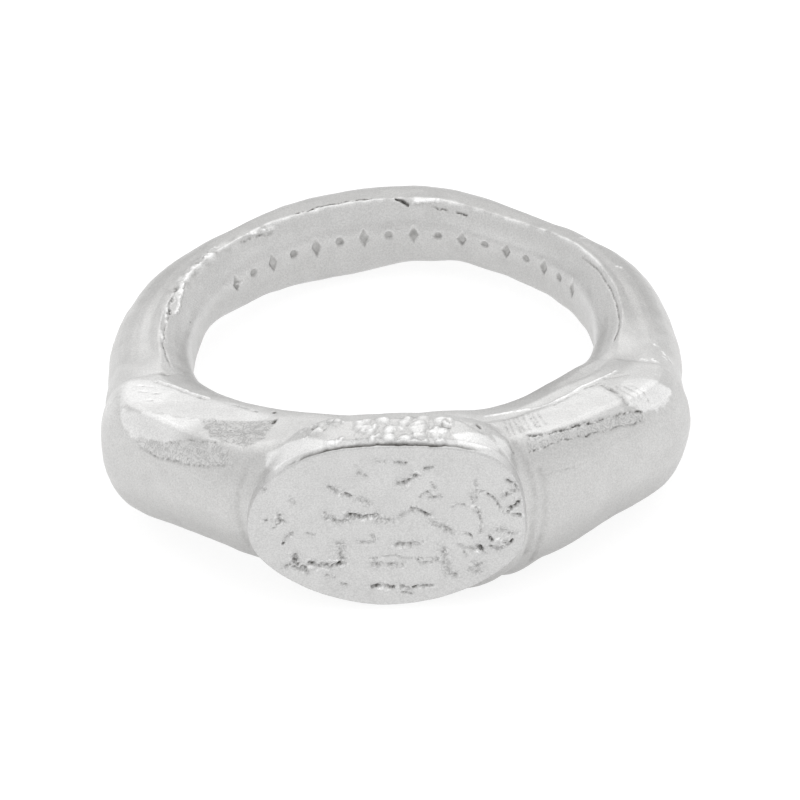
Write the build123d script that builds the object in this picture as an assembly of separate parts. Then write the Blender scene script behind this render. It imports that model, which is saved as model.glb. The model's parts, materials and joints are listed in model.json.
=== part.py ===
from build123d import *
import math
import os

# Signet ring in sterling silver, made up from separately worked pieces joined by solder.
# Origin: centre of the finger hole, on the ring's middle plane. +Z runs along the finger,
# the seal looks towards -Y, and +X is to the right of someone who looks at the seal with
# +Z up. Lengths are in millimetres and angles in degrees, counted from the seal.

# Driving dimensions
BORE_R = 8.65             # finger hole, inside diameter 17.3
SEAL_HALF_WIDTH = 5.75    # oval seal, along X
SEAL_HALF_HEIGHT = 4.0    # oval seal, along Z
SEAL_THICKNESS = 0.6
SEAL_FACE_Y = -12.85      # front of the seal plate
SEAL_RIM_R = 0.15         # softened front rim of the plate
SEAT_GAP = 0.05           # between the plate's rim and the cheeks beside it
SOLDER = 0.1              # thickness of a solder joint
SOLDER_INSET = 0.15       # the seal's solder stops this far inside the plate's rim
HEAD_JOINT_X = 6.4        # joints between the head and the two shoulders
SHANK_JOINT_ANGLE = 67.0  # joints between the shoulders and the two shank halves
HEAD_FRONT = (5.7, 3.85)  # half width and half height of the head's oval at the seal's seat
HEAD_WAIST = (6.15, 3.75)  # the same where the oval is widest
HEAD_WAIST_Y = -11.1
HEAD_ROOT = (6.0, 2.9)    # and where it runs into the band
HEAD_ROOT_Y = -9.2

# The band's section at a number of angles. Each row gives: angle; how far the straight wall
# against the finger reaches up and down; radius and half height of the sharp inner ridge;
# radius and half height of the crown's edge; outermost radius; how much further out the right
# side stands than this, and how much further in the left side does.
FRONT_STATIONS = [
    (0, 2.75, 2.75, 9.6, 3.15, 10.8, 3.3, 11.7, 0.0),
    (15, 2.65, 2.65, 9.6, 3.1, 11.1, 3.3, 12.4, 0.0),
    (30, 2.35, 2.35, 9.9, 2.9, 12.4, 3.1, 13.75, 0.0),
    (45, 1.8, 1.8, 10.0, 2.6, 12.5, 2.85, 13.75, 0.05),
    (58, 1.25, 1.35, 10.4, 2.35, 12.8, 2.65, 14.15, 0.1),
    (68, 0.8, 1.1, 10.6, 2.05, 12.0, 2.25, 13.5, 0.25),
    (78, 0.5, 1.05, 10.2, 1.8, 11.2, 1.95, 12.6, 0.25),
]
SHANK_STATIONS = [
    (58, 1.15, 1.3, 10.2, 2.15, 12.2, 2.4, 13.7, 0.1),
    (68, 0.75, 1.1, 10.3, 1.95, 11.6, 2.1, 13.2, 0.25),
    (78, 0.5, 1.05, 10.0, 1.85, 10.7, 1.75, 12.4, 0.25),
    (92, 0.35, 1.0, 9.9, 1.75, 10.4, 1.6, 12.15, 0.0),
    (112, 0.3, 1.0, 9.65, 1.75, 10.05, 1.65, 11.75, -0.1),
    (136, 0.3, 1.0, 9.45, 1.75, 9.85, 1.7, 11.25, -0.1),
    (160, 0.3, 1.0, 9.35, 1.75, 9.85, 1.7, 11.55, 0.0),
    (180, 0.3, 1.0, 9.35, 1.75, 9.85, 1.7, 11.6, 0.0),
    (190, 0.3, 1.0, 9.35, 1.75, 9.85, 1.7, 11.6, 0.0),
]
CORE_R = 7.9              # sections start inside the finger hole, which is bored afterwards
# The comfort curve from the finger wall to the ridge passes this far across and up its span.
COMFORT_ACROSS, COMFORT_UP = 0.4, 0.6
BORING_LENGTH = 30.0      # longer than the ring is tall

SIDES = {"left": -1, "right": 1}


def radial_plane(angle):
    """Plane through the ring's axis: its x runs outwards at this angle, its y runs up."""
    turn = math.radians(angle)
    outward = Vector(math.sin(turn), -math.cos(turn), 0)
    return Plane(origin=(0, 0, 0), x_dir=outward, z_dir=outward.cross(Vector(0, 0, 1)))


def section(station, side):
    """Closed outline of the band at one station, on side +1 (right) or -1 (left)."""
    angle, wall_up, wall_down, ridge_r, ridge_z, crown_r, crown_z, outer_r, lean = station
    edge_r = crown_r + side * lean
    comfort_r = BORE_R + COMFORT_ACROSS * (ridge_r - BORE_R)
    with BuildSketch(radial_plane(side * angle)) as outline:
        with BuildLine():
            Line((CORE_R, -wall_down), (CORE_R, wall_up))
            EllipticalCenterArc((edge_r, 0), outer_r - crown_r, crown_z, start_angle=-90, arc_size=180)
            for way, wall_z in ((1, wall_up), (-1, wall_down)):
                comfort_z = wall_z + COMFORT_UP * (ridge_z - wall_z)
                wall_end, ridge = (BORE_R, way * wall_z), (ridge_r, way * ridge_z)
                Line((CORE_R, way * wall_z), wall_end)
                ThreePointArc(wall_end, (comfort_r, way * comfort_z), ridge)
                Line(ridge, (edge_r, way * crown_z))
        make_face()
    return outline.sketch


def bored(shape):
    return shape - Cylinder(BORE_R, BORING_LENGTH)


def upright_oval(y, half_width, half_height):
    """Flat oval at this depth that looks towards -Y."""
    return Plane(origin=(0, y, 0), x_dir=(1, 0, 0), z_dir=(0, -1, 0)) * Ellipse(half_width, half_height)


def beyond(shape, plane, distance):
    """What is left of a shape on the far side of a plane moved this far along its normal."""
    return split(shape, bisect_by=plane.offset(distance), keep=Keep.TOP)


def before(shape, plane, distance):
    """What is left of a shape on the near side of a plane moved this far along its normal."""
    return split(shape, bisect_by=plane.offset(distance), keep=Keep.BOTTOM)


def solder_film(shape, plane):
    """The thin slice of a shape that fills the joint at a plane."""
    return before(beyond(shape, plane, -SOLDER / 2), plane, SOLDER / 2)


def save(name, shape):
    export_step(shape, f"parts/{name}.step")


os.makedirs("parts", exist_ok=True)

# Seal plate, and the solder that holds it on its seat.
plate_back_y = SEAL_FACE_Y + SEAL_THICKNESS
seat_y = plate_back_y + SOLDER
plate = extrude(upright_oval(plate_back_y, SEAL_HALF_WIDTH, SEAL_HALF_HEIGHT), SEAL_THICKNESS)
save("seal_plate", fillet(plate.edges().sort_by(Axis.Y)[0], SEAL_RIM_R))
film = upright_oval(seat_y, SEAL_HALF_WIDTH - SOLDER_INSET, SEAL_HALF_HEIGHT - SOLDER_INSET)
save("seal_plate_solder", extrude(film, SOLDER))

# One smooth band runs through the head and both shoulders.
front_sections = [section(station, -1) for station in reversed(FRONT_STATIONS[1:])]
front_sections += [section(station, 1) for station in FRONT_STATIONS]
front_band = bored(loft(front_sections))
head_band = front_band

for name, side in SIDES.items():
    # These planes look away from the seal, so "beyond" is nearer to the back of the ring.
    head_joint = Plane(origin=(side * HEAD_JOINT_X, 0, 0), x_dir=(0, 1, 0), z_dir=(side, 0, 0))
    shank_joint = radial_plane(side * SHANK_JOINT_ANGLE)
    if side > 0:
        shank_joint = -shank_joint
    half_band = split(front_band, bisect_by=Plane.YZ, keep=Keep.TOP if side > 0 else Keep.BOTTOM)
    save(f"{name}_head_solder", solder_film(half_band, head_joint))
    head_band = before(head_band, head_joint, -SOLDER / 2)
    shoulder = before(beyond(half_band, head_joint, SOLDER / 2), shank_joint, -SOLDER / 2)
    save(f"{name}_shoulder", shoulder)

    shank = bored(loft([section(station, side) for station in SHANK_STATIONS]))
    save(f"{name}_shank_solder", solder_film(shank, shank_joint))
    back_joint = Plane(origin=(0, 0, 0), x_dir=(0, 1, 0), z_dir=(-side, 0, 0))
    shank_half = before(beyond(shank, shank_joint, SOLDER / 2), back_joint, -SOLDER / 2)
    save(f"{name}_shank", shank_half)
    if side > 0:
        save("back_solder", solder_film(shank, back_joint))

# Head: the middle of the band, swelled into an oval with a flat seat for the seal.
swell = loft([
    upright_oval(seat_y, *HEAD_FRONT),
    upright_oval(HEAD_WAIST_Y, *HEAD_WAIST),
    upright_oval(HEAD_ROOT_Y, *HEAD_ROOT),
])
seat = extrude(upright_oval(seat_y, SEAL_HALF_WIDTH + SEAT_GAP, SEAL_HALF_HEIGHT + SEAT_GAP), 3)
save("head_block", head_band + bored(swell) - seat)
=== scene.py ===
import itertools
import json
import math

import bmesh
import bpy
import numpy as np
from mathutils import Matrix, Vector

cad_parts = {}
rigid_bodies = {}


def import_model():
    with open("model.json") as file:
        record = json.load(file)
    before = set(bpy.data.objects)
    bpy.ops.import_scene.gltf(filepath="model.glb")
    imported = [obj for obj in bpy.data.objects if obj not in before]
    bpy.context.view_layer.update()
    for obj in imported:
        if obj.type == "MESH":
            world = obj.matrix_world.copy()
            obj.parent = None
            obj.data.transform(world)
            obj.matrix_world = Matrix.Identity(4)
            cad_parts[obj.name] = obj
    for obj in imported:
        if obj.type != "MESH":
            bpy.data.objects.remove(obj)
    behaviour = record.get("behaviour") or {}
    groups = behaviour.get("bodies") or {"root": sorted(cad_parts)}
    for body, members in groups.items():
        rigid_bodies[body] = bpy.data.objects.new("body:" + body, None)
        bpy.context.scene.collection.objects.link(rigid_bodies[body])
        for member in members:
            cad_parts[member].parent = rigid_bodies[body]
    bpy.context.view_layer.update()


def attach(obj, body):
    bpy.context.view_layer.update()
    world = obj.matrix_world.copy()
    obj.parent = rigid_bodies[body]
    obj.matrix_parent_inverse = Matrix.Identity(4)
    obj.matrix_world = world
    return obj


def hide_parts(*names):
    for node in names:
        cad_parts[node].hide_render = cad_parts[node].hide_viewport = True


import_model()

# ---------------------------------------------------------------- sizes, in millimetres and degrees
# The scene is in metres. Shapes are worked out in millimetres and scaled once, at the end.
MM = 0.001

BORE_R = 8.65           # the finger hole
HEAD_JOINT_X = 6.4      # joints between the head and the shoulders
SHANK_JOINT_ANGLE = 67.0        # joints between the shoulders and the shank
SOLDER = 0.1            # thickness of a joint
STEP_WIDTH = 2.2        # degrees over which the shoulder's end drops to the shank

# The band's section at a number of angles from the seal: how far the finger wall reaches up
# and down; radius and half height of the inner ridge; radius and half height of the crown's
# edge; outermost radius; how much further out the right side stands.
FRONT_STATIONS = {
    0: (2.75, 2.75, 9.6, 3.15, 10.8, 3.3, 11.7, 0.0),
    15: (2.65, 2.65, 9.6, 3.1, 11.1, 3.3, 12.4, 0.0),
    30: (2.35, 2.35, 9.9, 2.9, 12.4, 3.1, 13.75, 0.0),
    45: (1.8, 1.8, 10.0, 2.6, 12.5, 2.85, 13.75, 0.05),
    58: (1.25, 1.35, 10.4, 2.35, 12.8, 2.65, 14.15, 0.1),
    68: (0.8, 1.1, 10.6, 2.05, 12.0, 2.25, 13.5, 0.25),
    78: (0.5, 1.05, 10.2, 1.8, 11.2, 1.95, 12.6, 0.25),
}
SHANK_STATIONS = {
    58: (1.15, 1.3, 10.2, 2.15, 12.2, 2.4, 13.7, 0.1),
    68: (0.75, 1.1, 10.3, 1.95, 11.6, 2.1, 13.2, 0.25),
    78: (0.5, 1.05, 10.0, 1.85, 10.7, 1.75, 12.4, 0.25),
    92: (0.35, 1.0, 9.9, 1.75, 10.4, 1.6, 12.15, 0.0),
    112: (0.3, 1.0, 9.65, 1.75, 10.05, 1.65, 11.75, -0.1),
    136: (0.3, 1.0, 9.45, 1.75, 9.85, 1.7, 11.25, -0.1),
    160: (0.3, 1.0, 9.35, 1.75, 9.85, 1.7, 11.55, 0.0),
    180: (0.3, 1.0, 9.35, 1.75, 9.85, 1.7, 11.6, 0.0),
}
BAND_STEP = 0.5         # degrees between the band's sections
BULGE_ACROSS, BULGE_UP = 0.2, 0.05      # bulge of the slope from wall to ridge, as shares of its span
VOXEL = 0.06            # grain of the remeshed body

SEAL_FACE_Y = -12.85
SEAL_THICKNESS = 0.6
SEAL_HALF_WIDTH = 5.75
SEAL_TOP, SEAL_BOTTOM = 4.12, 4.0
# How square the seal's outline is in each quarter, from the upper right round to the lower
# right; 2 is an ellipse.
SEAL_SQUARENESS = (3.15, 2.2, 1.8, 1.95)
PLATE_BACK_Y = SEAL_FACE_Y + SEAL_THICKNESS
# Outlines that the head swells through: depth, and how far they stand inside the seal's. The
# first closes the seam round the back of the plate.
HEAD_STEPS = [
    (PLATE_BACK_Y - 0.2, 0.14),
    (PLATE_BACK_Y, -0.06),
    (-11.8, -0.1),
    (-11.1, -0.15),
    (-10.2, 0.2),
    (-9.2, 1.1),
]


# ---------------------------------------------------------------- numbers
def smoothstep(low, high, value):
    t = np.clip((value - low) / (high - low), 0.0, 1.0)
    return t * t * (3.0 - 2.0 * t)


def gradient_noise(points, wavelength, seed):
    """Smooth noise, about -1 to 1, at an array of points."""
    q = points / wavelength + seed * 17.31
    # Each corner of a cell has a gradient, picked by an integer hash of its place and the seed.
    cell = np.floor(q).astype(np.int64)
    local = q - cell
    fade = local**3 * (local * (local * 6.0 - 15.0) + 10.0)
    total = np.zeros(len(points))
    for corner in itertools.product((0, 1), repeat=3):
        at = cell + corner
        code = at[:, 0] * 73856093 ^ at[:, 1] * 19349663 ^ at[:, 2] * 83492791 ^ seed * 2654435761
        code = (code ^ (code >> 13)) * 1274126177 & 0xFFFFFFFF
        code = (code ^ (code >> 16)) & 0xFFFFFFFF
        gradient = np.stack([(code >> shift & 1023) / 511.5 - 1.0 for shift in (0, 10, 20)], 1)
        weight = np.prod(np.where(corner, fade, 1.0 - fade), axis=1)
        total += weight * np.sum(gradient * (local - corner), axis=1)
    return total * 1.6


def fractal(points, wavelength, seed, octaves=3):
    """Noise at a wavelength and at successive halves of it."""
    return sum(gradient_noise(points, wavelength / 2**k, seed + k) / 2**k for k in range(octaves))


def station_curve(stations):
    """A function from angles to rows of section values, smooth between the stations."""
    knots = np.array(sorted(stations), float)
    values = np.array([stations[k] for k in sorted(stations)])
    gaps = np.diff(knots)[:, None]
    slopes = np.diff(values, axis=0) / gaps
    tangents = np.zeros_like(values)
    same_way = slopes[:-1] * slopes[1:] > 0
    mean = 2.0 * slopes[:-1] * slopes[1:] / np.where(same_way, slopes[:-1] + slopes[1:], 1.0)
    tangents[1:-1] = np.where(same_way, mean, 0.0)

    def curve(angles):
        i = np.clip(np.searchsorted(knots, angles) - 1, 0, len(knots) - 2)
        width = gaps[i]
        t = np.clip((angles[:, None] - knots[i][:, None]) / width, 0.0, 1.0)
        return (
            (1 + 2 * t) * (1 - t) ** 2 * values[i]
            + t * (1 - t) ** 2 * width * tangents[i]
            + t * t * (3 - 2 * t) * values[i + 1]
            + t * t * (t - 1) * width * tangents[i + 1]
        )

    return curve


front_curve = station_curve(FRONT_STATIONS)
shank_curve = station_curve(SHANK_STATIONS)


def section_values(angles):
    """Section values at signed angles, where the shoulder's end drops to the shank."""
    away = np.abs(angles)
    half = STEP_WIDTH / 2
    to_shank = smoothstep(SHANK_JOINT_ANGLE - half, SHANK_JOINT_ANGLE + half, away)[:, None]
    values = front_curve(away) * (1 - to_shank) + shank_curve(away) * to_shank
    lean = values[:, 7] * np.sign(angles)
    values[:, 4] += lean
    values[:, 6] += lean
    return values


# ---------------------------------------------------------------- meshes
def new_mesh(name, points, faces):
    mesh = bpy.data.meshes.new(name)
    mesh.from_pydata([tuple(p) for p in points], [], faces)
    mesh.update()
    return mesh


def new_object(name, data):
    made = bpy.data.objects.new(name, data)
    bpy.context.scene.collection.objects.link(made)
    return made


def rows_to_faces(rows, columns, closed_rows):
    """Quads between successive rows of points, each row closed on itself."""
    last = rows if closed_rows else rows - 1
    quads = []
    for i in range(last):
        here, there = i * columns, (i + 1) % rows * columns
        for j in range(columns):
            k = (j + 1) % columns
            quads.append((here + j, here + k, there + k, there + j))
    return quads


def comfort_curve(wall_z, ridge_r, ridge_z):
    """Points of the gently bulging slope from the finger wall to the inner ridge."""
    steps = np.linspace(0.0, 1.0, 7)
    bulge = 4 * steps * (1 - steps)
    across, rise = ridge_r - BORE_R, ridge_z - wall_z
    return [
        (BORE_R + across * (t - BULGE_ACROSS * b), wall_z + rise * (t + BULGE_UP * b))
        for t, b in zip(steps, bulge)
    ]


def band_mesh():
    """The whole band as rows of section points round the ring."""
    angles = np.arange(-180.0, 180.0, BAND_STEP)
    values = section_values(angles)
    crown = np.radians(np.linspace(90, -90, 17))
    rows = []
    for angle, (wall_up, wall_down, ridge_r, ridge_z, crown_r, crown_z, outer_r, _) in zip(angles, values):
        outline = comfort_curve(wall_up, ridge_r, ridge_z)
        outline += [(crown_r + (outer_r - crown_r) * math.cos(a), crown_z * math.sin(a)) for a in crown]
        outline += [(r, -z) for r, z in reversed(comfort_curve(wall_down, ridge_r, ridge_z))]
        turn = math.radians(angle)
        rows += [(r * math.sin(turn), -r * math.cos(turn), z) for r, z in outline]
    return np.array(rows), rows_to_faces(len(angles), len(outline), True)


def seal_outline(inset, count=160):
    """Points (x, z) round the seal's hand-cut oval, this far inside its rim."""
    found = []
    for k in range(count):
        turn = 360.0 * k / count
        quarter, share = divmod((turn - 45.0) / 90.0, 1.0)
        before, after = (SEAL_SQUARENESS[int(quarter + step) % 4] for step in (0, 1))
        power = 2.0 / (before + (after - before) * (1 - math.cos(math.pi * share)) / 2)
        across, tall = math.cos(math.radians(turn)), math.sin(math.radians(turn))
        height = (SEAL_TOP if tall > 0 else SEAL_BOTTOM) - inset
        width = SEAL_HALF_WIDTH - inset
        found.append((math.copysign(width * abs(across) ** power, across),
                      math.copysign(height * abs(tall) ** power, tall)))
    return found


def outline_loft(steps):
    """A closed solid through seal outlines given as (depth, inset)."""
    rings = [[(x, y, z) for x, z in seal_outline(inset)] for y, inset in steps]
    count = len(rings[0])
    points = [point for ring in rings for point in ring]
    faces = rows_to_faces(len(rings), count, False)
    faces += [tuple(range(count)), tuple(reversed(range(len(points) - count, len(points))))]
    return np.array(points), faces


def arrays(mesh):
    points = np.zeros(len(mesh.vertices) * 3)
    mesh.vertices.foreach_get("co", points)
    normals = np.zeros(len(mesh.vertices) * 3)
    mesh.vertex_normals.foreach_get("vector", normals)
    return points.reshape(-1, 3), normals.reshape(-1, 3)


def set_points(mesh, points):
    mesh.vertices.foreach_set("co", np.ascontiguousarray(points, dtype=np.float32).ravel())
    mesh.update()


def relax(mesh, rounds, weight, push_back):
    """Evens the surface out: each vertex moves towards its neighbours' mean by its weight.

    Pushing back after every other round keeps the surface from shrinking.
    """
    edges = np.zeros(len(mesh.edges) * 2, np.int64)
    mesh.edges.foreach_get("vertices", edges)
    a, b = edges.reshape(-1, 2).T
    count = len(mesh.vertices)
    valence = np.bincount(a, minlength=count) + np.bincount(b, minlength=count)
    points, _ = arrays(mesh)
    for step in range(rounds):
        factor = -0.52 if push_back and step % 2 else 0.5
        mean = np.stack([
            np.bincount(a, points[b, k], count) + np.bincount(b, points[a, k], count) for k in range(3)
        ], 1) / valence[:, None]
        points += (mean - points) * (factor * weight)[:, None]
    set_points(mesh, points)


def voxel_skin(name, points, faces, voxel):
    """An even skin of small quads over a set of closed, overlapping solids."""
    rough = new_object(name, new_mesh(name, points, faces))
    remesh = rough.modifiers.new("remesh", "REMESH")
    remesh.mode = "VOXEL"
    remesh.voxel_size = voxel
    graph = bpy.context.evaluated_depsgraph_get()
    skin = bpy.data.meshes.new_from_object(rough.evaluated_get(graph))
    bpy.data.objects.remove(rough)
    return skin


def build_body():
    """Band and head as one skin, in millimetres, before its joints are cut."""
    band_points, band_faces = band_mesh()
    head_points, head_faces = outline_loft(HEAD_STEPS)
    offset = len(band_points)
    head_faces = [tuple(v + offset for v in face) for face in head_faces]
    return voxel_skin("body", np.concatenate([band_points, head_points]), band_faces + head_faces, VOXEL)


# ---------------------------------------------------------------- marks on a surface
def segment_distance(u, v, start, end):
    """Distances from points (u, v) to a segment."""
    along = np.subtract(end, start)
    share = ((u - start[0]) * along[0] + (v - start[1]) * along[1]) / max(along @ along, 1e-9)
    share = np.clip(share, 0.0, 1.0)
    return np.hypot(u - start[0] - share * along[0], v - start[1] - share * along[1])


def path_distance(u, v, path):
    return np.min([segment_distance(u, v, a, b) for a, b in zip(path, path[1:])], axis=0)


def depth_inside(u, v, outline):
    """Distances to a closed outline, positive inside it and negative outside."""
    inside = np.zeros(len(u), bool)
    ends = outline[1:] + outline[:1]
    for (u0, v0), (u1, v1) in zip(outline, ends):
        if v0 != v1:
            inside ^= ((v0 > v) != (v1 > v)) & (u < u0 + (v - v0) / (v1 - v0) * (u1 - u0))
    distance = path_distance(u, v, outline + outline[:1])
    return np.where(inside, distance, -distance)


class Skin:
    """A mesh's vertices, flat coordinates to place marks by, and what the marks add up to.

    The colour shift that the marks add up to runs from -1, painted highlights and bright metal from wear,
    through 0 to 1, painted shade in hollows and darker metal. rough is how strongly the material's torn cast
    texture shows.
    """

    def __init__(self, mesh):
        self.mesh = mesh
        self.points, self.normals = arrays(mesh)
        self.x, self.y, self.z = self.points.T
        self.lift = np.zeros(len(self.x))
        self.tone = np.zeros(len(self.x))
        self.rough = np.zeros(len(self.x))

    def nearby(self, corners, reach):
        """The vertices in the box round some corners, grown by this reach."""
        low, high = np.min(corners, axis=0) - reach, np.max(corners, axis=0) + reach
        across = (self.u > low[0]) & (self.u < high[0])
        return np.flatnonzero(across & (self.v > low[1]) & (self.v < high[1]))

    def scratch(self, path, width, depth, tone=0.0, ragged=0.0, seed=1, halo=0.0):
        """A furrow along a path, darkened as painted shade, or a raised fold where the depth is negative,
        brightened as a painted highlight.

        ragged is how much it wanders and breaks up. halo is how strongly torn metal, and painted highlights
        on the lips, show beside it.
        """
        path = [self.flat(*corner) for corner in path]
        near = self.nearby(path, 4.0 * width)
        if not len(near):
            return
        places = self.points[near]
        noise = fractal(places, 0.35, seed)
        u = self.u[near] + 0.07 * ragged * gradient_noise(places, 0.45, seed + 1)
        v = self.v[near] + 0.07 * ragged * gradient_noise(places, 0.45, seed + 2)
        distance = path_distance(u, v, path) * (1.0 + 0.5 * ragged * noise)
        profile = np.exp(-(distance / width) ** 2) * np.clip(1.0 + ragged * 1.4 * noise, 0.0, 1.6)
        torn = 1.0 + ragged * (2.0 * fractal(places, 0.14, seed + 3, 2) - 0.1)
        self.lift[near] -= depth * profile * (0.6 + 0.4 * torn)
        self.tone[near] += tone * profile * torn
        self.rough[near] += halo * np.exp(-(distance / (2.4 * width)) ** 2)
        lip = np.exp(-((distance / width - 1.7) / 0.6) ** 2)
        lip *= np.clip(2.2 * fractal(places, 0.2, seed + 4, 2), 0.0, 1.0)
        self.tone[near] -= halo * tone * lip

    def patch(self, outline, fade):
        """1 inside an outline, falling to 0 over this distance at its edge."""
        outline = [self.flat(*corner) for corner in outline]
        near = self.nearby(outline, fade)
        mask = np.zeros(len(self.u))
        depth = depth_inside(self.u[near], self.v[near], outline)
        noise = 0.6 * fade * fractal(self.points[near], 0.3, 5)
        mask[near] = smoothstep(-0.5 * fade, 0.5 * fade, depth + noise)
        return mask

    def commit(self):
        set_points(self.mesh, self.points + self.normals * self.lift[:, None])
        for name, values, low in (("tone", self.tone, -1.0), ("rough", self.rough, 0.0)):
            layer = self.mesh.attributes.new(name, "FLOAT", "POINT")
            layer.data.foreach_set("value", np.clip(values, low, 1.0).astype(np.float32))


# ---------------------------------------------------------------- surface detail of the body
# Marks on the body are placed by two angles in degrees: the way round the ring from the seal,
# and the turn round the band's section, from 0 at its outermost line through 90 at its top.
AROUND_R = 13.0         # distances round the ring are measured at this radius
SECTION_R = 11.0        # the band's section turns about this radius
TURN_MM = 0.05          # and this is what a degree of its turn measures


class BodySkin(Skin):
    def __init__(self, mesh):
        super().__init__(mesh)
        self.angle = np.degrees(np.arctan2(self.x, -self.y))
        self.radius = np.hypot(self.x, self.y)
        self.turn = np.degrees(np.arctan2(self.z, self.radius - SECTION_R))
        self.u, self.v = self.flat(self.angle, self.turn)
        self.wall = 1.0 - smoothstep(0.1, 0.5, self.radius - BORE_R)
        values = section_values(self.angle)
        self.to_ridge = np.hypot(self.radius - values[:, 2], self.z - values[:, 3])
        self.climb = (self.z - values[:, 0]) / (values[:, 3] - values[:, 0])
        self.bore_side = 1.0 - smoothstep(-0.1, 0.1, self.radius - values[:, 2])

    def flat(self, angle, turn):
        return np.radians(angle) * AROUND_R, turn * TURN_MM

    def between(self, start, peak, end):
        """Swells from 0 to 1 and back between three angles round the ring."""
        aside = (self.angle - peak + 180.0) % 360.0 - 180.0
        return smoothstep(start - peak, 0.0, aside) * (1.0 - smoothstep(0.0, end - peak, aside))

    def shift_z(self, span, inner, outer, upper, amount):
        """Moves a stretch of the band up or down, most at the middle of three angles."""
        reach = smoothstep(inner, inner + 0.6, self.radius)
        reach *= 1.0 - smoothstep(outer, outer + 0.6, self.radius)
        side = smoothstep(-0.5, 1.0, self.z if upper else -self.z)
        self.points[:, 2] += amount * self.between(*span) * reach * side

    def swell(self, span, amount):
        """Moves a stretch of the crown outwards, most at the middle of three angles."""
        share = amount * self.between(*span) * smoothstep(10.2, 11.2, self.radius) / self.radius
        self.points[:, :2] *= 1.0 + share[:, None]


def shape_by_hand(skin):
    """The larger departures of the hand-worked band from its even sections."""
    skin.shift_z((-58, -33, -15), 10.5, 18.0, False, 0.85)
    skin.shift_z((8, 22.5, 30), 10.5, 18.0, False, -0.75)
    skin.shift_z((22, 30, 38), 10.5, 18.0, False, -0.08)
    skin.shift_z((34, 44, 64), 10.5, 18.0, False, 0.12)
    skin.shift_z((12, 29, 50), 8.2, 10.4, True, -0.26)
    skin.shift_z((38, 60, 78), 8.2, 9.6, True, 0.22)
    skin.shift_z((-182, -163, -142), 8.2, 10.0, False, -0.3)
    skin.shift_z((138, 164, 190), 8.2, 10.0, False, 0.27)
    skin.shift_z((-136, -112, -92), 8.2, 10.0, False, 0.5)
    skin.swell((-94, -76, -66), 0.28)
    skin.swell((-154, -141, -128), -0.35)
    skin.swell((100, 112, 121), 0.06)
    skin.shift_z((118, 147, 174), 8.4, 18.0, True, -0.36)
    skin.swell((132, 147, 166), -0.28)
    skin.swell((118, 125, 133), -0.22)
    skin.swell((-128, -116, -104), 0.07)


def undulate(skin):
    """Hand-finished unevenness all over, less against the finger."""
    amount = 1.0 - 0.75 * skin.wall
    skin.lift += amount * 0.04 * fractal(skin.points, 3.2, 11)
    skin.lift += amount * 0.009 * fractal(skin.points, 0.7, 21)
    shank = smoothstep(66.0, 76.0, np.abs(skin.angle))
    skin.lift += shank * (1.0 - skin.bore_side) * 0.03 * gradient_noise(skin.points, 1.5, 23)
    # The edge of the finger wall wanders a little below.
    edge = skin.bore_side * smoothstep(0.2, 0.9, -skin.z)
    skin.points[:, 2] += 0.08 * edge * gradient_noise(skin.points, 1.3, 25)


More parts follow.
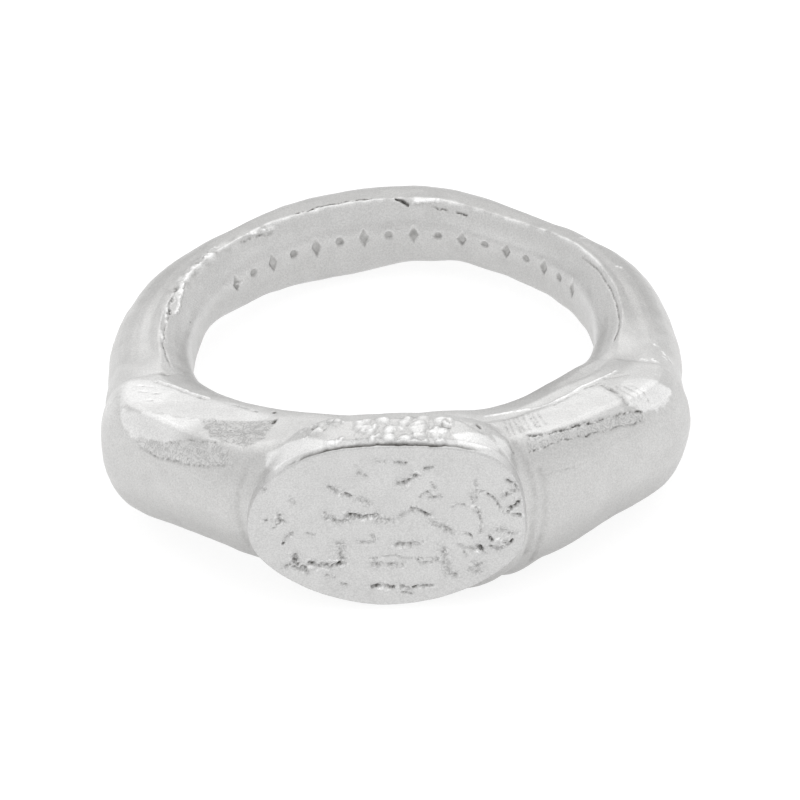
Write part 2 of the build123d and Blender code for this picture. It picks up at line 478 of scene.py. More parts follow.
def mark_left_shoulder(skin):
    """Ground facets, the shoulder's end and a top band painted bright as highlights, a lens and a wedge of
    rough cast skin, and small tool marks.
    """
    facet = skin.patch([
        (-65, 60), (-65.7, 73), (-64.5, 87), (-58, 101), (-50, 108), (-42, 119), (-36, 118),
        (-29, 113), (-27.6, 108), (-32, 98), (-38.6, 84), (-41.9, 79), (-47.8, 68), (-54.2, 54),
        (-58, 50),
    ], 0.2)
    # The ground facet and the shoulder's end are painted brighter: painted highlights.
    skin.tone -= 0.22 * facet
    end = skin.patch([(-66, 60), (-66, 76), (-63, 88), (-56, 92), (-53, 74), (-57, 52)], 0.4)
    skin.tone -= 0.12 * end
    band = skin.patch([
        (-57.6, 48), (-54, 53), (-47.5, 67), (-41.6, 78), (-37.7, 80), (-38.1, 65), (-38.9, 56),
        (-43.2, 49), (-47.7, 42), (-52.3, 36), (-54.9, 39),
    ], 0.15)
    # A painted highlight along the top band, turning to faint painted shade towards the head.
    skin.tone -= band * (0.55 * smoothstep(-37.0, -44.0, skin.angle) - 0.1)
    lens = skin.patch([
        (-51.6, 36), (-47.7, 42), (-43.1, 49), (-38.9, 56), (-33.7, 61), (-30.3, 59), (-28.1, 48),
        (-30, 48), (-32.9, 44), (-36.1, 41), (-40.7, 37), (-45.7, 33), (-49.6, 33),
    ], 0.1)
    skin.rough += 0.85 * lens
    skin.tone -= 0.12 * lens
    skin.lift -= 0.02 * lens
    skin.scratch(
        [(-49.6, 33), (-45.7, 33), (-40.7, 37), (-36.1, 41), (-32.9, 44), (-30, 48)],
        0.05, 0.035, 0.3, 0.8,
    )
    skin.scratch([(-47.7, 42), (-43.1, 49), (-38.9, 56), (-33.7, 61)], 0.04, 0.03, 0.25, 0.8)
    wedge = skin.patch([
        (-41.3, 77), (-39.2, 86), (-34.9, 92), (-30.7, 99), (-27, 105), (-25.6, 91), (-25.3, 76),
        (-27.4, 65), (-31.7, 64), (-35.5, 65),
    ], 0.2)
    skin.rough += 0.8 * wedge
    skin.tone += 0.14 * wedge
    # Tool marks: painted shade in the furrows, painted highlights on the raised lines and flecks.
    skin.scratch([(-63, 90), (-58, 100), (-52, 105), (-48, 108)], 0.05, 0.04, 0.35, 0.5)
    skin.scratch([(-64, 93), (-58, 104), (-52, 109), (-48, 112)], 0.05, -0.04, -0.8, 0.3)
    skin.scratch([(-62.2, 48), (-62.5, 44)], 0.08, -0.02, -0.7, 0.6)
    skin.scratch([(-62.6, 39), (-62.7, 37)], 0.06, -0.02, -0.7, 0.6)
    skin.scratch([(-41, 116), (-37, 116), (-33, 114)], 0.05, 0.03, 0.3, 0.9)
    skin.scratch([(-66.5, 112), (-67.5, 107)], 0.2, 0.05, 0.4, 0.5, 12)
    skin.scratch([(-29.2, 119), (-29.0, 118)], 0.07, 0.08, 2.0)
    skin.scratch([(-26.6, 106), (-26.4, 102)], 0.07, 0.1, 1.6)
    for angle, turn in ((-63, 70), (-61.5, 78), (-60, 68), (-58, 76), (-56, 66)):
        skin.scratch([(angle, turn), (angle + 0.8, turn + 5)], 0.05, 0.03, 0.3, 1.0)


def mark_right_shoulder(skin):
    """A ground facet and an oval painted bright as highlights, a strip of rough cast skin, and small tool
    marks.
    """
    facet = skin.patch([
        (28.9, 67), (30.5, 80), (33, 95), (38, 97), (41, 96), (49.8, 97), (52.3, 80), (52.1, 70),
        (49.2, 55), (49.3, 49), (44, 55), (39.5, 58), (35.2, 61), (31.1, 63),
    ], 0.2)
    # The facet and the oval are painted brighter: painted highlights, the oval most of all low down.
    skin.tone -= 0.2 * facet
    oval = skin.patch([
        (56.4, 72), (59.6, 66), (60, 56), (60.2, 49), (61.1, 38), (58.4, 35), (54.9, 37), (52, 43),
        (50.7, 51), (52.3, 63),
    ], 0.2)
    skin.tone -= oval * (0.2 + 0.5 * (1.0 - smoothstep(44.0, 62.0, skin.turn)))
    strip = skin.patch([
        (28.8, 65), (35.1, 60), (43.6, 54), (52, 43), (52.7, 40), (51.7, 35), (46.7, 42), (40.2, 48),
        (34, 53), (27.7, 53), (27.7, 59),
    ], 0.1)
    skin.rough += 0.85 * strip
    skin.tone -= 0.12 * strip
    skin.lift -= 0.02 * strip
    # Tool marks: painted shade in the furrows.
    skin.scratch([(28.8, 65), (35.1, 60), (43.6, 54), (49.3, 48), (52.3, 42)], 0.055, 0.05, 0.55, 1.1, 3)
    skin.scratch([(27.7, 53), (34, 53), (40.2, 48), (46.7, 42), (51.7, 35)], 0.045, 0.03, 0.35, 1.1, 5)
    skin.scratch([(53.5, 84), (52.6, 72), (51.7, 62), (50.5, 52)], 0.08, 0.06, 0.35, 0.7, 9)
    skin.scratch([(56.5, 90), (58, 84), (60, 76)], 0.09, 0.05, 0.15, 0.3, 9)
    for step in range(4):
        path = [(53.2 + step, 76 - 4 * step), (52.3 + step, 66 - 4 * step), (51.6 + step, 56 - 4 * step)]
        skin.scratch(path, 0.035, 0.025, 0.3, 0.8, 30 + step)
    skin.scratch([(40, 92), (45, 94), (49, 94), (54, 89)], 0.04, 0.03, 0.35, 0.8, 4)
    # A painted highlight along the facet's upper edge.
    edge = [(25, 109), (30, 109), (34, 106), (38, 100), (41, 97), (49.8, 98), (56.8, 93), (61, 89)]
    skin.scratch(edge, 0.055, -0.03, -0.9, 0.5, 4)
    for angle in (26.2, 27.2, 28.6, 29.4, 30.8, 32.2, 33.0, 34.4):
        top = 99 - abs(angle - 29) * 1.5
        path = [(angle + 1.3, top), (angle + 0.2, 82), (angle - 0.6, 70)]
        skin.scratch(path, 0.04, 0.03, 0.3, 0.5, int(angle * 10))
    skin.scratch([(29, 34), (33.3, 32), (38, 30)], 0.035, 0.015, 0.12, 1.0)


def mark_collar(skin):
    """Soft folds where the head's swell meets the shoulders, with a few pits and rings, all painted darker
    as shade.
    """
    skin.scratch(
        [(25.6, 62), (26.4, 49), (26.9, 33), (27, 14), (26.4, -7), (25.4, -35)],
        0.13, 0.05, 0.13, 0.2,
    )
    skin.scratch([(28.6, 40), (28.9, 20), (28.4, -10), (26.6, -48)], 0.14, 0.05, 0.13, 0.2)
    skin.scratch([(-25.9, 50), (-26.8, 33), (-26.9, 14), (-26.7, -15), (-26.2, -40)], 0.13, 0.045, 0.12, 0.2)
    skin.scratch([(19, 92), (22.5, 84), (24.6, 66), (24.8, 56)], 0.05, 0.03, 0.2, 0.5)
    skin.scratch([(16, 84), (19.5, 72), (22, 60)], 0.05, 0.025, 0.12, 0.5)
    skin.scratch([(19.4, 78), (19.8, 76)], 0.06, 0.06, 0.9)
    for angle, turn in ((-14.3, 86), (13.2, 80)):
        ring = [
            (angle + 0.8 * math.cos(t), turn + 3.6 * math.sin(t))
            for t in np.linspace(0.0, 2 * math.pi, 9)
        ]
        skin.scratch(ring, 0.05, 0.04, 0.55, 0.6, 5)


# Where cast lumps grow on the head's top, as patches of (x, y) in millimetres.
LUMPY = [
    [(-3.5, -10.5), (-1.8, -10.6), (-1.5, -11.4), (-3.3, -11.5)],
    [
        (-1.2, -11.1), (0.6, -10.9), (1.5, -10.8), (2.9, -10.9), (2.8, -12.0), (1.7, -12.6),
        (0.2, -12.2), (-1.1, -11.9),
    ],
    [
        (-2.3, -12.1), (-1.2, -12.0), (0.0, -12.0), (2.5, -12.0), (2.7, -12.75), (0.5, -12.85),
        (-2.2, -12.75),
    ],
]


def grow_nodules(skin):
    """Small cast lumps of uneven size along the head's top, behind the seal's edge, painted bright on their
    tops as highlights and dark in the seams between them as shade.
    """
    rng = np.random.default_rng(12)
    near = np.flatnonzero((skin.z > 2.9) & (np.abs(skin.x + 0.2) < 4.2) & (skin.y < -9.8))
    places = skin.points[near]
    x = places[:, 0] + 0.1 * gradient_noise(places, 0.5, 33)
    y = places[:, 1] + 0.1 * gradient_noise(places, 0.5, 34)
    zone = np.max([smoothstep(-0.12, 0.12, depth_inside(x, y, outline)) for outline in LUMPY], axis=0)
    zone *= smoothstep(SEAL_FACE_Y + 0.2, SEAL_FACE_Y + 0.3, places[:, 1])
    spots = np.column_stack([rng.uniform(-3.9, 3.2, 120), rng.uniform(-12.9, -10.2, 120)])
    sizes = rng.uniform(0.16, 0.34, len(spots))
    turns = rng.uniform(0.0, math.pi, len(spots))
    stretch = rng.uniform(1.0, 1.8, len(spots))
    shine = rng.uniform(0.35, 1.0, len(spots))
    right, deep = x[:, None] - spots[:, 0], y[:, None] - spots[:, 1]
    across = right * np.cos(turns) + deep * np.sin(turns)
    ahead = (deep * np.cos(turns) - right * np.sin(turns)) * stretch
    height = 1.0 - np.hypot(across, ahead) / sizes
    tallest = np.argmax(height, axis=1)
    ranked = np.sort(height, axis=1)
    lump = np.clip(ranked[:, -1], 0.0, 1.0)
    seam = 1.0 - smoothstep(0.0, 0.16, ranked[:, -1] - ranked[:, -2])
    seam_shade = seam * smoothstep(0.15, 0.6, gradient_noise(places, 0.8, 31))
    skin.lift[near] += zone * (0.1 * np.sqrt(lump) - 0.03 * seam)
    # The lumpy zone is painted a little darker, the seams between lumps darker still as painted shade, and
    # the lumps' tops brighter as painted highlights.
    skin.tone[near] += zone * (0.06 + 0.5 * seam_shade - 0.8 * shine[tallest] * np.sqrt(lump))


# Painted highlights on the bevels between the seal's upper corners and the head, as patches of (x, y).
BEVELS = [
    [
        (-4.8, -11.4), (-4.0, -11.2), (-2.9, -11.65), (-1.8, -12.45), (-2.7, -12.5), (-3.4, -12.4),
        (-4.0, -12.35), (-4.4, -12.5), (-4.9, -11.8),
    ],
    [
        (2.9, -12.0), (3.6, -11.7), (4.3, -11.6), (4.8, -11.85), (4.75, -12.2), (3.95, -12.5),
        (3.2, -12.5),
    ],
    [(4.5, -11.4), (5.0, -11.35), (5.25, -11.7), (5.2, -12.15), (4.85, -12.05)],
]


def paint_bevel_highlights(skin):
    near = np.flatnonzero((skin.z > 1.5) & (np.abs(skin.x) < 6.0) & (skin.y < -10.5))
    x, y, _ = skin.points[near].T
    for outline in BEVELS:
        # The bevels are painted brighter: painted highlights.
        skin.tone[near] -= 0.6 * smoothstep(-0.08, 0.08, depth_inside(x, y, outline))


def mark_ridge(skin):
    """The inner ridge: a broken painted highlight along it, with cracks and a notch painted darker as shade,
    and burrs painted brighter as highlights.
    """
    edge = np.exp(-(skin.to_ridge / 0.11) ** 2) * (skin.z > 0)
    highlight_dashes = smoothstep(-0.5, 0.2, fractal(skin.points, 0.7, 41))
    far = smoothstep(96.0, 120.0, np.abs(skin.angle))
    # A painted highlight along the ridge, broken into dashes.
    skin.tone -= 0.55 * edge * highlight_dashes * far
    skin.lift += 0.03 * edge * gradient_noise(skin.points, 0.45, 43) * far
    torn = skin.between(-150, -116, -88) * np.exp(-(skin.to_ridge / 0.3) ** 2) * (skin.z > 0)
    # Beside the torn stretch, blotches painted brighter and darker: painted highlights and painted shade on
    # the burrs.
    skin.tone -= 0.55 * torn * fractal(skin.points, 0.5, 45)
    skin.lift += 0.05 * torn * fractal(skin.points, 0.6, 45)
    # Cracks with painted shade in them, and raised burrs and glints with painted highlights.
    skin.scratch([(-152, 131), (-160, 131), (-168, 131), (-174, 132)], 0.04, 0.03, 0.55, 1.2, 7)
    skin.scratch(
        [(118, 137), (110, 133), (104, 132), (96, 130), (88, 127), (82, 124), (76, 124)],
        0.045, 0.04, 0.5, 0.5,
    )
    skin.scratch(
        [(-71, 124), (-76, 125), (-82, 124), (-86, 128), (-90, 128), (-95, 131)],
        0.035, 0.035, 0.5, 0.6,
    )
    skin.scratch([(-128, 126), (-118, 127), (-112, 128), (-106, 131)], 0.2, -0.04, -0.4, 0.9, 6)
    skin.scratch([(-110, 128), (-106, 133), (-101, 138), (-98, 138)], 0.09, -0.06, -0.5, 0.9, 6)
    skin.scratch([(-108, 124), (-103, 127), (-98, 130), (-96, 134)], 0.14, 0.06, 0.3, 0.9, 6)
    skin.scratch([(-99, 126), (-96, 127), (-91, 130)], 0.09, -0.04, -0.5, 0.9, 8)
    skin.scratch([(-88, 123), (-84, 127)], 0.08, -0.03, -0.35, 0.9, 8)
    skin.scratch([(-137, 133), (-141, 136), (-145, 139)], 0.1, -0.04, -0.5, 0.9, 2)
    skin.scratch([(-134, 136), (-139, 140), (-144, 143)], 0.09, 0.03, 0.25, 0.9, 2)
    skin.scratch([(179.8, 134), (178, 137), (176.5, 141)], 0.08, 0.12, 1.0, 0.5)
    skin.scratch([(175, 138), (171, 136), (168, 135)], 0.12, -0.07, -0.6, 0.5, 3)
    skin.scratch([(170, 142), (166, 143), (160, 143)], 0.05, 0.04, 0.6, 1.2, 4)
    skin.scratch([(-129, 176), (-127, 174)], 0.07, -0.03, -0.4, 0.6)
    skin.scratch([(-100, 159), (-99.7, 158)], 0.05, 0.05, 0.8)
    glints = ((77, 71), (75.3, 59), (74.2, 47), (73.4, 55), (69.5, 65), (69, 76), (126, 118), (110, 112))
    for angle, turn in glints:
        skin.scratch([(angle, turn), (angle - 0.6, turn - 5)], 0.08, -0.03, -0.7, 0.8, int(angle))


# A plain row of punch marks inside the shank: alternating lozenges and dots.
PUNCH_COUNT = 17
PUNCH_START, PUNCH_END = -127.0, -243.0     # degrees, by way of the back
PUNCH_Z = 0.27


def punch(skin):
    """Sinks the row of punch marks into the finger side."""
    for k in range(PUNCH_COUNT):
        angle = PUNCH_START + (PUNCH_END - PUNCH_START) * k / (PUNCH_COUNT - 1)
        aside = (skin.angle - angle + 180.0) % 360.0 - 180.0
        across = np.abs(np.radians(aside) * BORE_R)
        tall = np.abs(skin.z - PUNCH_Z)
        size = across / 0.23 + tall / 0.46 if k % 2 == 0 else np.hypot(across, tall) / 0.19
        mark = (1.0 - smoothstep(0.75, 1.1, size)) * (skin.radius < 9.6)
        skin.lift -= 0.06 * mark
        skin.tone += mark * (0.42 + 0.3 * gradient_noise(skin.points, 0.3, 51))


def paint_light_and_shade(skin):
    """Painted light and shade: undersides, the finger wall's lower edge, the slope below the ridge and
    stretches of the tops painted darker; the finger side's slope and the left shoulder's end painted
    brighter.
    """
    underside = 1.0 - smoothstep(-60.0, -8.0, skin.turn)
    # Painted shade on the crown's undersides.
    skin.tone += 0.3 * underside * smoothstep(10.5, 11.5, skin.radius)
    # The finger side is painted brighter half way up its slope, most of all on the right: a painted
    # highlight.
    away = np.abs(skin.angle)
    flanks = smoothstep(74.0, 104.0, away) * (1.0 - smoothstep(104.0, 134.0, away))
    slope = np.exp(-((skin.climb - 0.34) / 0.3) ** 2) * skin.bore_side * smoothstep(70.0, 95.0, away)
    skin.tone -= slope * (0.32 + 0.16 * flanks)
    # Painted shade towards the finger wall's lower edge.
    skin.tone += 0.08 * skin.wall * (1.0 - smoothstep(-0.6, 0.4, skin.z))
    near_ridge = skin.bore_side * smoothstep(1.0, 2.0, skin.z)
    # Painted shade on the slope below the ridge, in two stretches.
    skin.tone += near_ridge * (0.3 * skin.between(16, 44, 70) + 0.12 * skin.between(-76, -60, -40))
    left_end = skin.between(-78, -60, -48) * smoothstep(15.0, 40.0, skin.turn)
    # The left shoulder's end is painted brighter: a painted highlight.
    skin.tone -= 0.16 * (1.0 - skin.bore_side) * left_end
    # The tops of the shank and a patch on the right shoulder's top are painted darker: painted shade.
    top = (1.0 - skin.bore_side) * smoothstep(0.9, 1.5, skin.z)
    skin.tone += 0.26 * top * smoothstep(72.0, 98.0, np.where(skin.angle > 0, away, away - 16.0))
    skin.tone += 0.2 * top * skin.between(53, 65, 77) * smoothstep(74.0, 86.0, skin.turn)


def detail_body(mesh):
    skin = BodySkin(mesh)
    undulate(skin)
    mark_left_shoulder(skin)
    mark_right_shoulder(skin)
    mark_collar(skin)
    grow_nodules(skin)
    paint_bevel_highlights(skin)
    mark_ridge(skin)
    punch(skin)
    paint_light_and_shade(skin)
    shape_by_hand(skin)
    skin.commit()


# ---------------------------------------------------------------- cutting the body at its joints
def joints():
    """Every joint as (a point of it, its normal, the test for the side of the ring it is on)."""
    turn = math.radians(SHANK_JOINT_ANGLE)
    found = [(Vector(), Vector((1, 0, 0)), lambda c: c.y > 0)]
    for side in (-1, 1):
        found.append((Vector((side * HEAD_JOINT_X, 0, 0)), Vector((1, 0, 0)), lambda c: c.y < 0))
        across = Vector((side * math.cos(turn), math.sin(turn), 0))
        found.append((Vector(), across, lambda c, side=side: side * c.x > 0))
    return found


def piece_name(place):
    """The node that holds a point of the body, from its place in plan."""
    side = "right" if place.x > 0 else "left"
    half = SOLDER / 2
    turn = math.radians(SHANK_JOINT_ANGLE)
    past_shoulder = abs(place.x) * math.cos(turn) + place.y * math.sin(turn)
    if place.y > 0 and abs(place.x) < half:
        return "back_solder"
    if abs(past_shoulder) < half:
        return f"{side}_shank_solder"
    if past_shoulder > 0:
        return f"{side}_shank"
    if abs(abs(place.x) - HEAD_JOINT_X) < half:
        return f"{side}_head_solder"
    return "head_block" if abs(place.x) < HEAD_JOINT_X else f"{side}_shoulder"


def slice_at_joints(work):
    """Adds edges to a bmesh where both faces of every joint pass through it."""
    reach = SOLDER / 2 + 2 * VOXEL
    for point, normal, on_side in joints():
        for shift in (-SOLDER / 2, SOLDER / 2):
            origin = point + normal * shift
            near = set()
            for face in work.faces:
                centre = face.calc_center_median()
                if abs((centre - origin).dot(normal)) < reach and on_side(centre):
                    near.update((face, *face.edges, *face.verts))
            bmesh.ops.bisect_plane(work, geom=list(near), plane_co=origin, plane_no=normal, dist=1e-6)


def carry_normals(mesh):
    """Shades a cut piece with the whole skin's normals, so that no joint shows as an edge."""
    normals = np.zeros(len(mesh.vertices) * 3, np.float32)
    mesh.attributes["whole_normal"].data.foreach_get("vector", normals)
    owners = np.zeros(len(mesh.loops), np.int32)
    mesh.loops.foreach_get("vertex_index", owners)
    own = np.zeros(len(mesh.loops) * 3, np.float32)
    mesh.corner_normals.foreach_get("vector", own)
    smooth = np.zeros(len(mesh.polygons), bool)
    mesh.polygons.foreach_get("use_smooth", smooth)
    counts = np.zeros(len(mesh.polygons), np.int32)
    mesh.polygons.foreach_get("loop_total", counts)
    on_skin = np.repeat(smooth, counts)[:, None]
    mesh.normals_split_custom_set(np.where(on_skin, normals.reshape(-1, 3)[owners], own.reshape(-1, 3)))
    mesh.attributes.remove(mesh.attributes["whole_normal"])


def cut_body(mesh):
    """Closed meshes by node name, cut from the whole skin at its joints."""
    whole = bmesh.new()
    whole.from_mesh(mesh)
    slice_at_joints(whole)
    whole.to_mesh(mesh)
    owners = [piece_name(face.calc_center_median()) for face in whole.faces]
    whole.free()
    _, normals = arrays(mesh)
    kept = mesh.attributes.new("whole_normal", "FLOAT_VECTOR", "POINT")
    kept.data.foreach_set("vector", normals.astype(np.float32).ravel())
    cut = {}
    for name in sorted(set(owners)):
        part = bmesh.new()
        part.from_mesh(mesh)
        strangers = [face for face, owner in zip(part.faces, owners) if owner != name]
        bmesh.ops.delete(part, geom=strangers, context="FACES")
        for face in part.faces:
            face.smooth = True
        rims = [edge for edge in part.edges if edge.is_boundary]
        caps = bmesh.ops.holes_fill(part, edges=rims, sides=0)["faces"]
        for face in caps:
            face.smooth = False
        part.transform(Matrix.Scale(MM, 4))
        bmesh.ops.recalc_face_normals(part, faces=part.faces)
        cut[name] = bpy.data.meshes.new(name)
        part.to_mesh(cut[name])
        part.free()
        carry_normals(cut[name])
    return cut


# ---------------------------------------------------------------- seal plate
SEAL_VOXEL = 0.05
SEAL_RIM_R = 0.08
BACK_INSET = -0.05      # the plate widens this much towards its back
FILM_INSET = 0.05       # the solder behind the plate stops this far inside its rim

# Marks on the seal's face as (path of x, z; width; depth; how much darker it is painted, as shade in the
# mark).
GOUGES = [
    (((0.6, 2.25), (0.95, 2.3), (1.35, 2.6)), 0.1, 0.09, 0.75),
    (((-1.5, 0.75), (-0.9, 0.6), (-0.4, 0.65)), 0.1, 0.1, 0.8),
    (((-3.25, -1.7), (-2.85, -1.8), (-2.5, -1.85), (-2.05, -1.75)), 0.1, 0.09, 0.75),
    (((-3.85, -1.25), (-3.85, -1.65), (-3.5, -1.9)), 0.1, 0.09, 0.65),
    (((-0.75, -3.0), (-0.3, -2.95), (0.1, -3.05), (0.5, -3.05)), 0.08, 0.08, 0.8),
    (((0.5, -3.05), (0.85, -3.15), (1.2, -3.0), (1.75, -3.05)), 0.06, 0.06, 0.65),
    (((-2.0, 2.0), (-1.7, 1.85), (-1.4, 1.7)), 0.07, 0.07, 0.5),
    (((4.25, -0.65), (4.35, -0.8)), 0.07, 0.08, 0.8),
    (((4.2, -1.1), (4.45, -1.15), (4.6, -1.25), (4.8, -1.15), (5.0, -1.0), (5.2, -0.75)), 0.05, 0.05, 0.55),
    (((4.75, -1.0), (4.85, -0.95)), 0.07, 0.08, 1.0),
    (((5.15, 0.85), (5.35, 0.95), (5.55, 1.25)), 0.08, 0.07, 0.75),
    (((5.1, 2.25), (5.3, 2.1), (5.45, 1.85)), 0.05, 0.06, 0.6),
    (((5.25, 0.45), (5.55, 0.45)), 0.07, 0.07, 0.7),
    (((3.8, -1.15), (3.85, -1.25)), 0.1, 0.12, 1.0),
    (((3.75, 0.9), (3.85, 0.65)), 0.07, 0.07, 0.85),
]
SCRAPES = [
    (((-2.25, 2.2), (-2.0, 2.05)), 0.07, 0.04, 0.3),
    (((-1.05, 1.5), (-0.65, 1.25)), 0.1, 0.03, 0.28),
    (((-2.2, 0.65), (-2.05, 0.4), (-1.6, 0.45)), 0.08, 0.035, 0.25),
    (((-0.3, 0.4), (0.0, 0.4), (0.25, 0.4)), 0.13, 0.03, 0.25),
    (((0.6, 0.6), (1.1, 0.95)), 0.05, 0.02, 0.2),
    (((1.05, 0.95), (1.4, 0.85), (1.8, 0.6)), 0.07, 0.05, 0.55),
    (((1.95, 0.15), (2.35, -0.05), (2.7, -0.3)), 0.12, 0.05, 0.35),
    (((0.4, -0.85), (0.9, -0.85), (1.35, -0.75)), 0.11, 0.05, 0.4),
    (((2.3, -1.0), (2.35, -1.6), (2.4, -2.2)), 0.1, 0.05, 0.3),
    (((2.35, -2.4), (2.7, -2.5)), 0.1, 0.03, 0.25),
    (((-1.2, -0.65), (-0.8, -0.75), (-0.5, -0.55), (-0.6, -0.4)), 0.08, 0.03, 0.25),
    (((-1.95, -0.75), (-1.95, -1.25), (-1.9, -1.6)), 0.14, 0.05, 0.25),
    (((-4.3, -1.85), (-4.1, -1.75), (-3.4, -2.1)), 0.08, 0.04, 0.4),
    (((-0.65, -1.8), (0.05, -1.85), (0.3, -1.95), (0.5, -1.85)), 0.1, 0.04, 0.35),
    (((1.25, -1.75), (1.65, -1.85), (2.05, -1.65)), 0.06, 0.04, 0.4),
    (((0.35, -3.3), (0.85, -3.4)), 0.05, 0.03, 0.35),
    (((3.55, 1.6), (3.65, 1.2)), 0.05, 0.03, 0.25),
    (((3.9, 0.55), (3.9, 0.1), (3.85, -0.4)), 0.05, 0.03, 0.3),
    (((3.8, 1.7), (4.15, 1.7), (4.4, 1.45), (4.6, 1.1), (4.75, 0.85)), 0.055, 0.04, 0.4),
    (((4.85, 0.6), (5.1, 0.7)), 0.05, 0.04, 0.5),
    (((4.95, 1.5), (5.15, 1.55), (5.45, 1.7)), 0.1, 0.03, 0.35),
    (((3.8, 2.3), (3.8, 1.4)), 0.05, 0.02, 0.2),
    (((4.65, -0.25), (4.9, -0.3)), 0.09, 0.03, 0.3),
    (((5.0, -0.5), (5.05, -0.45)), 0.06, 0.05, 0.65),
    (((5.2, -0.45), (5.35, -0.5)), 0.05, 0.05, 0.6),
    (((3.2, -0.4), (3.35, -0.4), (3.5, -0.6)), 0.05, 0.04, 0.5),
    (((2.95, -0.95), (3.3, -1.15), (3.6, -1.2), (4.0, -1.45)), 0.045, 0.03, 0.4),
    (((3.1, -1.3), (3.25, -1.55)), 0.05, 0.03, 0.35),
    (((3.5, -1.9), (3.6, -2.1), (3.8, -1.95)), 0.07, 0.03, 0.3),
    (((3.35, -2.25), (3.65, -2.4)), 0.08, 0.03, 0.25),
    (((-5.1, 0.6), (-4.85, 0.6)), 0.05, 0.04, 0.4),
    (((-4.4, 0.9), (-4.5, 0.55), (-4.25, 0.5)), 0.06, 0.04, 0.4),
    (((-4.65, 0.2), (-4.3, 0.55)), 0.05, 0.03, 0.3),
    (((-3.9, -0.1), (-4.15, -0.3), (-4.35, -0.65)), 0.06, 0.05, 0.6),
    (((-3.85, 1.6), (-3.7, 1.4)), 0.06, 0.03, 0.35),
    (((-2.5, 0.9), (-2.45, 0.6)), 0.08, 0.03, 0.3),
    (((-0.25, 3.45), (0.05, 3.35)), 0.06, 0.03, 0.3),
    (((0.55, 3.35), (1.0, 3.25)), 0.06, 0.03, 0.35),
    (((1.75, 2.95), (2.1, 3.0)), 0.06, 0.03, 0.35),
    (((-1.0, 2.85), (-0.7, 2.75)), 0.05, 0.03, 0.35),
    (((1.45, 1.55), (1.8, 1.75), (1.9, 1.45), (2.3, 1.55)), 0.06, 0.03, 0.25),
    (((2.0, 2.25), (2.1, 1.9)), 0.05, 0.025, 0.25),
    (((2.8, 1.0), (3.0, 1.15), (3.3, 1.1)), 0.05, 0.03, 0.3),
    (((-2.6, -2.35), (-2.35, -2.4)), 0.06, 0.03, 0.3),
    (((-2.0, -2.8), (-1.8, -2.85)), 0.05, 0.025, 0.25),
    (((-0.75, -1.55), (0.35, -1.4), (0.85, -1.6), (2.1, -1.6)), 0.03, 0.012, 0.12),
    (((-3.3, -0.1), (-3.0, -0.25)), 0.04, 0.03, 0.3),
    (((-4.95, 2.3), (-4.9, 2.1)), 0.06, 0.04, 0.35),
]
# Raised torn flecks beside the deepest gouges, painted bright as highlights.
FLECKS = [
    (1.1, 2.45), (1.3, 2.45), (-1.75, 1.8), (-0.85, 0.5), (-0.6, 0.55), (-2.3, -1.75), (-2.15, -1.65),
    (-1.95, -1.9), (-3.7, -1.75), (-0.4, -3.1), (0.3, -3.1), (4.6, -0.75), (3.75, -1.35), (3.65, 0.95),
]


class SealSkin(Skin):
    def __init__(self, mesh):
        super().__init__(mesh)
        self.u, self.v = self.x, self.z

    def flat(self, x, z):
        return x, z


def build_seal():
    """The seal plate's skin in millimetres, with a rounded front rim."""
    rim = [(SEAL_FACE_Y + SEAL_RIM_R * (1 - math.cos(t)), SEAL_RIM_R * (1 - math.sin(t)))
           for t in np.radians([0, 18, 36, 54, 72, 90])]
    rim.append((PLATE_BACK_Y, BACK_INSET))
    return voxel_skin("seal", *outline_loft(rim), SEAL_VOXEL)


def detail_seal(mesh):
    skin = SealSkin(mesh)
    front = 1.0 - smoothstep(SEAL_FACE_Y + 0.02, SEAL_FACE_Y + 0.3, skin.y)
    skin.lift += 0.018 * fractal(skin.points, 2.2, 61) + 0.006 * fractal(skin.points, 0.6, 62)
    # The gouges and scrapes are painted darker as shade in them, with painted highlights on their lips.
    for seed, (path, width, depth, tone) in enumerate(GOUGES + SCRAPES):
        skin.scratch(path, width, depth, tone, 0.9, seed + 70, 0.9)
    # Painted highlights on the flecks.
    for x, z in FLECKS:
        skin.scratch([(x - 0.06, z), (x + 0.06, z + 0.03)], 0.06, -0.03, -0.9, 0.8, 8)
    skin.lift *= front
    skin.tone = 0.75 * skin.tone * front * (1.0 + 0.9 * gradient_noise(skin.points, 0.1, 63))
    # The rim's sides towards the left and right ends are painted brighter: a painted highlight.
    side = smoothstep(SEAL_FACE_Y + 0.05, SEAL_FACE_Y + 0.14, skin.y)
    skin.tone -= 0.4 * side * smoothstep(3.2, 4.2, np.abs(skin.x))
    # A thin undercut runs along the middle of the upper rim, with its shadow painted dark.
    wander = 0.06 * fractal(skin.points, 0.9, 66) + 0.05 * gradient_noise(skin.points, 0.3, 68)
    undercut_shadow = np.exp(-((skin.y - (SEAL_FACE_Y + 0.17) - wander) / 0.07) ** 2) * (skin.z > 2.5)
    undercut_shadow *= smoothstep(-0.9, -0.3, fractal(skin.points, 0.5, 67))
    undercut_shadow *= 1.0 - 0.5 * smoothstep(2.1, 2.9, np.abs(skin.x - 0.1))
    undercut_shadow *= 1.0 - smoothstep(3.7, 4.4, np.abs(skin.x))
    skin.tone += 1.3 * undercut_shadow
    skin.lift -= 0.1 * undercut_shadow
    grow_nodules(skin)
    paint_bevel_highlights(skin)
    skin.commit()


# ---------------------------------------------------------------- materials
# Ends of the colour ramp: painted highlights and wear go towards the bright silver, painted shade towards
# the dark.
BRIGHT_SILVER = (0.93, 0.928, 0.925)
DARK_SILVER = (0.1, 0.096, 0.09)
CAST_COLOUR, CAST_ROUGHNESS = (0.58, 0.577, 0.571), 0.38
SEAL_COLOUR, SEAL_ROUGHNESS = (0.605, 0.603, 0.599), 0.42


